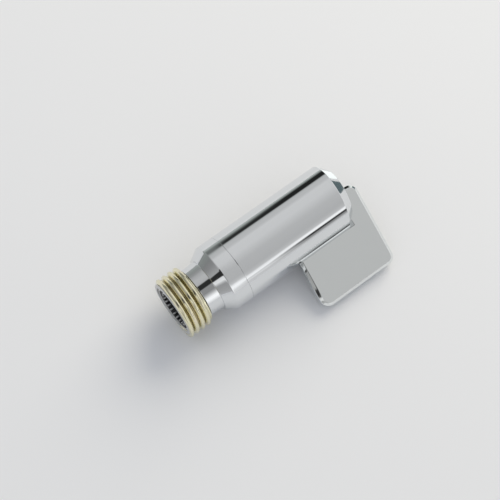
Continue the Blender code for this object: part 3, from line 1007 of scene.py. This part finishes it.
@dataclass
class FlagLever:
    """The chromed sleeve with its raked end, and the flag on its side."""

    axis: ValveAxis
    node: str = "lever_handle"
    sleeve_r: float = 11.6
    length: float = 42.8
    chamfer: float = 3.2
    end_edge: float = 0.35
    rake: float = math.radians(5.5)
    rake_reach: float = 1.2
    bore_r: float = 9.6
    bore_depth: float = 21.6
    insert_r: float = 6.2
    insert_depth: float = 32.4
    mouth_r: float = 10.4
    mouth_depth: float = 2.2
    mouth_edge: float = 0.1
    joint_edge: float = 0.04
    segments: int = 256
    flag_left: float = 19.9
    flag_right: float = 48.78
    flag_inner: float = -0.5
    flag_outer: float = 28.2
    flag_root: float = 10.4
    flag_heel: float = 40.0
    thickness: float = 4.2
    corner_r: float = 3.0
    edge: float = 0.9
    edge_r: float = 0.35
    face_border: float = 0.5
    arc_steps: int = 12

    def sleeve_profile(self) -> Profile:
        """Gives the sleeve's profile, from the end's middle round to the bore's floor."""
        return rounded([
            (0.0, self.length, 0.0),
            (self.sleeve_r - self.chamfer, self.length, self.end_edge),
            (self.sleeve_r, self.length - self.chamfer, self.end_edge),
            (self.sleeve_r, 0.0, self.joint_edge),
            (self.mouth_r, 0.0, self.mouth_edge),
            (self.mouth_r, self.mouth_depth, 0.0),
            (self.bore_r, self.mouth_depth, 0.0),
            (self.bore_r, self.bore_depth, 0.0),
            (self.insert_r, self.bore_depth, 0.0),
            (self.insert_r, self.insert_depth, 0.0),
            (0.0, self.insert_depth, 0.0),
        ])

    def lean(self, along: float, across: float, up: float) -> float:
        """Gives how far the raked end moves a point along the axis.

        Args:
            along: The point's place along the axis.
            across: Its place across the axis, away from the flag.
            up: Its place square to the flag, which has no part in it.

        Returns:
            The move in millimetres.
        """
        if along < self.length - self.chamfer - self.rake_reach:
            return 0.0
        return math.tan(self.rake) * across

    def flag_loop(self) -> list[Vector]:
        """Gives the flag's outline as places along the axis and out from it.

        Returns:
            The points, from the near outer corner round, with round free corners.
        """
        lean = math.tan(self.rake)
        inset = self.corner_r / math.cos(self.rake)
        low = self.flag_outer - self.corner_r
        high = self.flag_inner + self.corner_r
        turns = (
            (self.flag_left + inset - lean * low, low, math.pi - self.rake, 1.5 * math.pi),
            (self.flag_right - inset - lean * low, low, -math.pi / 2, -self.rake),
            (self.flag_right - inset - lean * high, high, -self.rake, math.pi / 2),
        )
        points: list[Vector] = []
        for along, out, start, end in turns:
            for k in range(self.arc_steps + 1):
                angle = start + (end - start) * k / self.arc_steps
                x = along + self.corner_r * math.cos(angle)
                y = -out + self.corner_r * math.sin(angle)
                points.append(Vector((x, y)))
        points.append(Vector((self.flag_heel, -self.flag_inner)))
        points.append(Vector((self.flag_heel, -self.flag_root)))
        points.append(Vector((self.flag_left - lean * self.flag_root, -self.flag_root)))
        return points

    def flag_mesh(self) -> bpy.types.Mesh:
        """Builds the flag with broken edges.

        Returns:
            The closed mesh.
        """
        loop = self.flag_loop()
        normals = outward(loop)
        half = self.thickness / 2
        layers = rounded([
            (self.edge + self.face_border, -half, 0.0),
            (self.edge, -half, self.edge_r),
            (0.0, -half + self.edge, self.edge_r),
            (0.0, 0.0, 0.0),
        ])
        layers += [(inset, -up) for inset, up in reversed(layers[:-1])]
        shape = bmesh.new()
        rings: list[Ring] = []
        for inset, up in layers:
            ring: Ring = []
            for point, normal in zip(loop, normals):
                spot = point - normal * inset
                ring.append(shape.verts.new(self.axis.point(spot.x, spot.y, up, rolled=True)))
            rings.append(ring)
        count = len(loop)
        for one, two in zip(rings, rings[1:]):
            for k in range(count):
                n = (k + 1) % count
                shape.faces.new((one[k], one[n], two[n], two[k]))
        shape.faces.new(reversed(rings[0]))
        shape.faces.new(rings[-1])
        bmesh.ops.recalc_face_normals(shape, faces=shape.faces)
        return finished(shape)

    def build(self, chrome: bpy.types.Material, flag_chrome_painted_light: bpy.types.Material) -> None:
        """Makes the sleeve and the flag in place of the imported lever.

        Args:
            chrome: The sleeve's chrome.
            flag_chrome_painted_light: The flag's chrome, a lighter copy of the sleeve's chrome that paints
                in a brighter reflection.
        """
        turning = Turning(self.axis, rolled=True, segments=self.segments)
        mesh = turning.mesh(self.sleeve_profile(), closed=False, shift=self.lean)
        add_piece("lever_sleeve", mesh, chrome, Body.LEVER, Slot.CHROME, self.node)
        add_piece("lever_flag", self.flag_mesh(), flag_chrome_painted_light, Body.LEVER, Slot.CHROME, self.node)


def outward(loop: list[Vector], sharpest: float = 0.3) -> list[Vector]:
    """Gives the outward offset direction at each point of a loop drawn anticlockwise.

    Args:
        loop: The loop's points.
        sharpest: The least cosine that the offset of a sharp corner is stretched by.

    Returns:
        One vector a point, long enough that an offset keeps the edges parallel.
    """
    found = []
    count = len(loop)
    for k in range(count):
        before = (loop[k] - loop[k - 1]).normalized()
        after = (loop[(k + 1) % count] - loop[k]).normalized()
        one = Vector((before.y, -before.x))
        two = Vector((after.y, -after.x))
        middle = (one + two).normalized()
        found.append(middle / max(middle.dot(one), sharpest))
    return found


def mirrored_only(name: str, mesh: bpy.types.Mesh) -> None:
    """Puts a thing of the studio in the scene, where only mirrors show it.

    Args:
        name: Name of the tent or card.
        mesh: Its mesh.
    """
    thing = add_object(name, mesh)
    thing.visible_camera = False
    thing.visible_diffuse = False
    thing.visible_shadow = False
    thing.visible_transmission = False


def glowing(name: str) -> bpy.types.Material:
    """Makes a black material that glows, with its colour still to be set.

    Args:
        name: Name of the material.

    Returns:
        The material.
    """
    made = bpy.data.materials.new(name)
    made.use_nodes = True
    shader = made.node_tree.nodes["Principled BSDF"]
    shader.inputs["Base Color"].default_value = (0.0, 0.0, 0.0, 1.0)
    shader.inputs["Specular IOR Level"].default_value = 0.0
    shader.inputs["Emission Strength"].default_value = 1.0
    return made


@dataclass(frozen=True)
class Station:
    """How bright the tent is at one place along the valve axis.

    Attributes:
        along: The place, in metres from the joint.
        stops: Angles from straight up, in degrees and positive to the flag's side, each with a level.
    """

    along: float
    stops: Stops

    def level(self, angle: float) -> float:
        """Gives the level at an angle.

        Args:
            angle: Degrees from straight up.

        Returns:
            The level between the nearest stops.
        """
        for (low, one), (high, two) in zip(self.stops, self.stops[1:]):
            if angle <= high:
                return one + (two - one) * max(angle - low, 0.0) / (high - low)
        return self.stops[-1][1]


# The tent's level by angle, as seen in each part of the metal
PLAIN_SIDE: Stops = ((-92, 0.55), (92, 0.65))
SHOULDER_SIDE: Stops = (
    (-92, 0.32), (-60, 0.26), (-40, 0.29), (-12, 0.40), (-4, 0.42), (0, 0.03), (20, 0.03), (24, 0.85),
    (37, 0.90), (44, 0.60), (52, 0.36), (64, 0.38), (80, 0.42), (92, 0.50))
NECK_SIDE: Stops = (
    (-92, 0.45), (-77, 0.35), (-65, 0.32), (-54, 0.36), (-44, 0.47), (-26, 0.56), (-8, 0.54), (-3, 0.45),
    (0, 0.03), (18, 0.03), (21, 0.31), (42, 0.31), (51, 0.53), (60, 0.90), (66, 1.15), (74, 1.22),
    (82, 1.0), (92, 0.75))
COLLAR_SIDE: Stops = (
    (-92, 0.58), (-84, 0.45), (-78, 0.24), (-72, 0.19), (-66, 0.20), (-60, 0.42), (-56, 0.55), (-44, 0.60),
    (-36, 0.72), (-12, 0.71), (17, 0.56), (48, 0.54), (58, 0.64), (63, 0.98), (68, 1.15), (73, 1.10),
    (80, 0.80), (92, 0.74))
SLEEVE_NEAR: Stops = (
    (-92, 0.58), (-85, 0.45), (-77, 0.14), (-72, 0.03), (-64, 0.03), (-60, 0.48), (-57, 0.57), (-44, 0.60),
    (-36, 0.72), (-12, 0.71), (17, 0.56), (50, 0.53), (62, 0.62), (66, 0.95), (72, 1.12), (76, 0.72),
    (80, 0.85), (84, 0.66), (92, 0.72))
SLEEVE_FAR: Stops = (
    (-92, 0.58), (-86, 0.46), (-81, 0.16), (-77, 0.02), (-63, 0.02), (-59, 0.50), (-56, 0.58), (-44, 0.60),
    (-36, 0.72), (-12, 0.71), (17, 0.57), (50, 0.53), (62, 0.62), (66, 1.05), (71.5, 1.2), (74, 0.04),
    (78, 0.04), (80, 0.28), (84, 0.36), (88, 0.66), (92, 0.72))
WINDOW_SIDE: Stops = ((-92, 0.85), (-40, 0.95), (30, 1.05), (92, 0.95))


@dataclass
class LightTent:
    """The white cloth and dark gaps over the table, which only the metal mirrors.

    Attributes:
        origin: The joint's centre in metres.
        radius: The tent's radius round the valve axis.
        reach: Degrees from straight up to each of its hems.
        leaf_start: Degrees, away from the flag, at which a faint green starts.
        leaf_blend: Degrees over which the green comes in.
        leaf_red: The share of the red that the green takes away.
        leaf_blue: How much of that share it takes from the blue.
        stations: Its brightness along the axis.
    """

    origin: Vector
    radius: float = 0.6
    reach: int = 92
    leaf_start: float = 50.0
    leaf_blend: float = 25.0
    leaf_red: float = 0.06
    leaf_blue: float = 0.6
    stations: tuple[Station, ...] = (
        Station(-6.0, PLAIN_SIDE),
        Station(-2.6, PLAIN_SIDE),
        Station(-2.0, SHOULDER_SIDE),
        Station(-0.19, SHOULDER_SIDE),
        Station(-0.06, NECK_SIDE),
        Station(0.098, NECK_SIDE),
        Station(0.104, COLLAR_SIDE),
        Station(0.116, COLLAR_SIDE),
        Station(0.122, SLEEVE_NEAR),
        Station(0.143, SLEEVE_NEAR),
        Station(0.183, SLEEVE_FAR),
        Station(0.5, SLEEVE_FAR),
        Station(0.8, WINDOW_SIDE),
        Station(6.0, WINDOW_SIDE),
    )

    def material(self) -> bpy.types.Material:
        """Makes the glowing cloth, whose level is kept at each point.

        Returns:
            The material.
        """
        made = glowing("tent_cloth")
        nodes = made.node_tree.nodes
        glow = nodes.new("ShaderNodeAttribute")
        glow.attribute_name = "glow"
        made.node_tree.links.new(glow.outputs["Color"], nodes["Principled BSDF"].inputs["Emission Color"])
        return made

    def shade(self, station: Station, angle: float) -> Shade:
        """Gives the cloth's colour at a point.

        Args:
            station: The place along the axis.
            angle: Degrees from straight up.

        Returns:
            The colour, with an alpha of one.
        """
        level = station.level(angle)
        blend = min(max(-angle - self.leaf_start, 0.0) / self.leaf_blend, 1.0)
        leaf = self.leaf_red * level * blend
        return (level - leaf, level, level - self.leaf_blue * leaf, 1.0)

    def build(self) -> None:
        """Hangs the tent over the part."""
        angles = [float(k) for k in range(-self.reach, self.reach + 1)]
        spots: list[Vector] = []
        shades: list[Shade] = []
        for station in self.stations:
            for angle in angles:
                turn = math.radians(angle)
                arm = Vector((station.along, -self.radius * math.sin(turn), self.radius * math.cos(turn)))
                spots.append(self.origin + arm)
                shades.append(self.shade(station, angle))
        count = len(angles)
        faces = []
        for i in range(len(self.stations) - 1):
            for k in range(i * count, (i + 1) * count - 1):
                faces.append((k, k + 1, k + count + 1, k + count))
        mesh = bpy.data.meshes.new("light_tent")
        mesh.from_pydata(spots, [], faces)
        glow = mesh.attributes.new("glow", "FLOAT_COLOR", "POINT")
        for k, shade in enumerate(shades):
            glow.data[k].color = shade
        mesh.materials.append(self.material())
        mirrored_only("light_tent", mesh)


@dataclass(frozen=True)
class Card:
    """A card that only the metal mirrors.

    Attributes:
        name: Name of the card.
        corners: Its corners in metres, from the point below the sleeve's end.
        glow: Its colour and brightness.
    """

    name: str
    corners: tuple[Spot, ...]
    glow: Colour

    def build(self, origin: Vector) -> None:
        """Sets the card in the scene.

        Args:
            origin: The point that its corners are measured from.
        """
        mesh = bpy.data.meshes.new(self.name)
        mesh.from_pydata([origin + Vector(corner) for corner in self.corners], [], [(0, 1, 2, 3)])
        finish = glowing(self.name)
        shader = finish.node_tree.nodes["Principled BSDF"]
        shader.inputs["Emission Color"].default_value = (*self.glow, 1.0)
        mesh.materials.append(finish)
        mirrored_only(self.name, mesh)


@dataclass(frozen=True)
class Lamp:
    """A wide, soft lamp that faces the part.

    Attributes:
        name: Name of the lamp.
        heading: Degrees from the valve axis to the lamp, about the vertical.
        elevation: Degrees from the table up to the lamp.
        distance: Metres from the part to the lamp.
        width: Width of the lamp's round face in metres.
        power: Its power in watts.
        colour: Its colour.
    """

    name: str
    heading: float
    elevation: float
    distance: float
    width: float
    power: float
    colour: Colour

    def build(self) -> None:
        """Sets the lamp in the scene, where mirrors don't show it."""
        light = bpy.data.lights.new(self.name, "AREA")
        light.shape = "DISK"
        light.size = self.width
        light.energy = self.power
        light.color = self.colour
        thing = add_object(self.name, light)
        side = math.radians(self.heading)
        rise = math.radians(self.elevation)
        arm = Vector((math.cos(rise) * math.cos(side), math.cos(rise) * math.sin(side), math.sin(rise)))
        thing.location = arm * self.distance
        thing.rotation_euler = arm.to_track_quat("Z", "Y").to_euler()
        thing.visible_glossy = False


DARK_CARD = Card(
    "dark_card",
    corners=((0.06, -0.004, 0.0), (0.06, 0.026, 0.0), (0.06, 0.026, 0.03), (0.06, -0.004, 0.03)),
    glow=(0.12, 0.16, 0.17))
WHITE_CARD = Card(
    "white_card",
    corners=((0.018, 0.014, 0.0), (0.05, 0.018, 0.0), (0.05, 0.06, 0.0), (0.018, 0.06, 0.0)),
    glow=(1.2, 1.25, 1.22))
KEY_LAMP = Lamp(
    "key", heading=22.0, elevation=32.0, distance=1.2, width=1.17, power=11.1, colour=(1.0, 0.945, 0.81))


@dataclass
class Studio:
    """The table, the light and the camera.

    Attributes:
        tent: The tent over the part.
        camera_place: The camera's place in metres.
        camera_forward: The direction that it looks in.
        focal_pixels: Its focal length, in pixels of the photograph.
        sensor: Width of its sensor in millimetres.
        near_clip: The nearest distance that it shows.
        background: The level that the camera and mirrors see past the table.
        ambient: The level of the fill.
        ambient_colour: The fill's colour.
        floor_size: Width of the table.
        floor_gap: Gap between the part and the table.
        sleeve_end: Distance from the joint to the sleeve's end.
        card_lift: Height of the cards over the part's lowest point.
        cards: The cards.
        lamp: The lamp.
    """

    tent: LightTent
    camera_place: Vector
    camera_forward: Vector
    focal_pixels: float = 1268.0
    sensor: float = 36.0
    near_clip: float = 0.01
    background: float = 0.80
    ambient: float = 0.62
    ambient_colour: Colour = (0.95, 0.985, 1.04)
    floor_size: float = 3.0
    floor_gap: float = 0.0001
    sleeve_end: float = 0.041
    card_lift: float = 0.0005
    cards: tuple[Card, ...] = (DARK_CARD, WHITE_CARD)
    lamp: Lamp = KEY_LAMP

    def world(self) -> None:
        """Sets a pale background that metal shows too, and a softer, cooler fill for the rest."""
        world = bpy.data.worlds.new("studio")
        world.use_nodes = True
        bpy.context.scene.world = world
        tree = world.node_tree
        path = tree.nodes.new("ShaderNodeLightPath").outputs
        first = {0: path["Is Camera Ray"], 1: path["Is Glossy Ray"]}
        seen = add_node(tree, "ShaderNodeMath", first, operation="ADD")
        second = {0: seen.outputs[0], 1: path["Is Transmission Ray"]}
        shown = add_node(tree, "ShaderNodeMath", second, operation="ADD", use_clamp=True)
        sky = add_node(tree, "ShaderNodeMix", {"Factor": shown.outputs[0]}, data_type="RGBA")
        sky.inputs["A"].default_value = (*(self.ambient * part for part in self.ambient_colour), 1.0)
        sky.inputs["B"].default_value = (self.background, self.background, self.background, 1.0)
        shader = tree.nodes["Background"]
        shader.inputs["Strength"].default_value = 1.0
        tree.links.new(sky.outputs["Result"], shader.inputs["Color"])

    def floor(self) -> None:
        """Lays the pale table."""
        shape = bmesh.new()
        bmesh.ops.create_grid(shape, x_segments=2, y_segments=2, size=self.floor_size / 2)
        mesh = bpy.data.meshes.new("table")
        shape.to_mesh(mesh)
        shape.free()
        finish = TABLE.material()
        finish.node_tree.nodes["Principled BSDF"].inputs["Specular IOR Level"].default_value = 0.0
        mesh.materials.append(finish)
        table = add_object("table", mesh)
        table.location.z = CAD_BOX[0][2] - self.floor_gap

    def camera(self) -> None:
        """Sets the camera at the photograph's angle."""
        lens = bpy.data.cameras.new("camera")
        lens.sensor_width = self.sensor
        lens.lens = self.focal_pixels / IMAGE_PIXELS * self.sensor
        lens.clip_start = self.near_clip
        thing = add_object("camera", lens)
        thing.location = self.camera_place
        thing.rotation_euler = self.camera_forward.to_track_quat("-Z", "Y").to_euler()
        bpy.context.scene.camera = thing

    def build(self) -> None:
        """Sets up everything round the part."""
        bpy.context.scene.view_settings.view_transform = "Standard"
        self.world()
        self.floor()
        self.tent.build()
        self.lamp.build()
        joint = self.tent.origin
        origin = Vector((joint.x + self.sleeve_end, joint.y, CAD_BOX[0][2] + self.card_lift))
        for card in self.cards:
            card.build(origin)
        self.camera()


def dress_nodes() -> None:
    """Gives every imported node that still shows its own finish."""
    made = {slot: finish.material() for slot, finish in NODE_FINISHES.items()}
    slots = {entry["node"]: Slot(entry["material_slot"]) for entry in frame["record"]["subparts"]}
    for name, thing in frame["nodes"].items():
        thing.data.materials.clear()
        thing.data.materials.append(made[slots[name]])


def main() -> None:
    """Builds the looks of the lever head."""
    logging.basicConfig(level=logging.INFO, format="%(name)s: %(message)s")
    joint = frame["record"]["behaviour"]["joints"][0]
    axis = ValveAxis(Vector(joint["pos_m"]), math.radians(LEVER_ROLL_DEG))
    dress_nodes()
    chrome = CHROME.material()
    brass = BRASS.material()
    steel = STEEL.material()
    CollarBody(axis).build(chrome)
    Nipple(axis).build(brass, VALLEY_SHADE_BRASS.material(), steel)
    ToothedSocket(axis).build(steel, SHADE_STEEL_FINISH.material())
    FlagLever(axis).build(chrome, LIGHTER_FLAG_CHROME.material())
    place = Vector(CAMERA_PLACE) + Vector((axis.origin.x, axis.origin.y, 0.0))
    Studio(LightTent(axis.origin), place, Vector(CAMERA_FORWARD)).build()


if __name__ == "__main__":
    main()
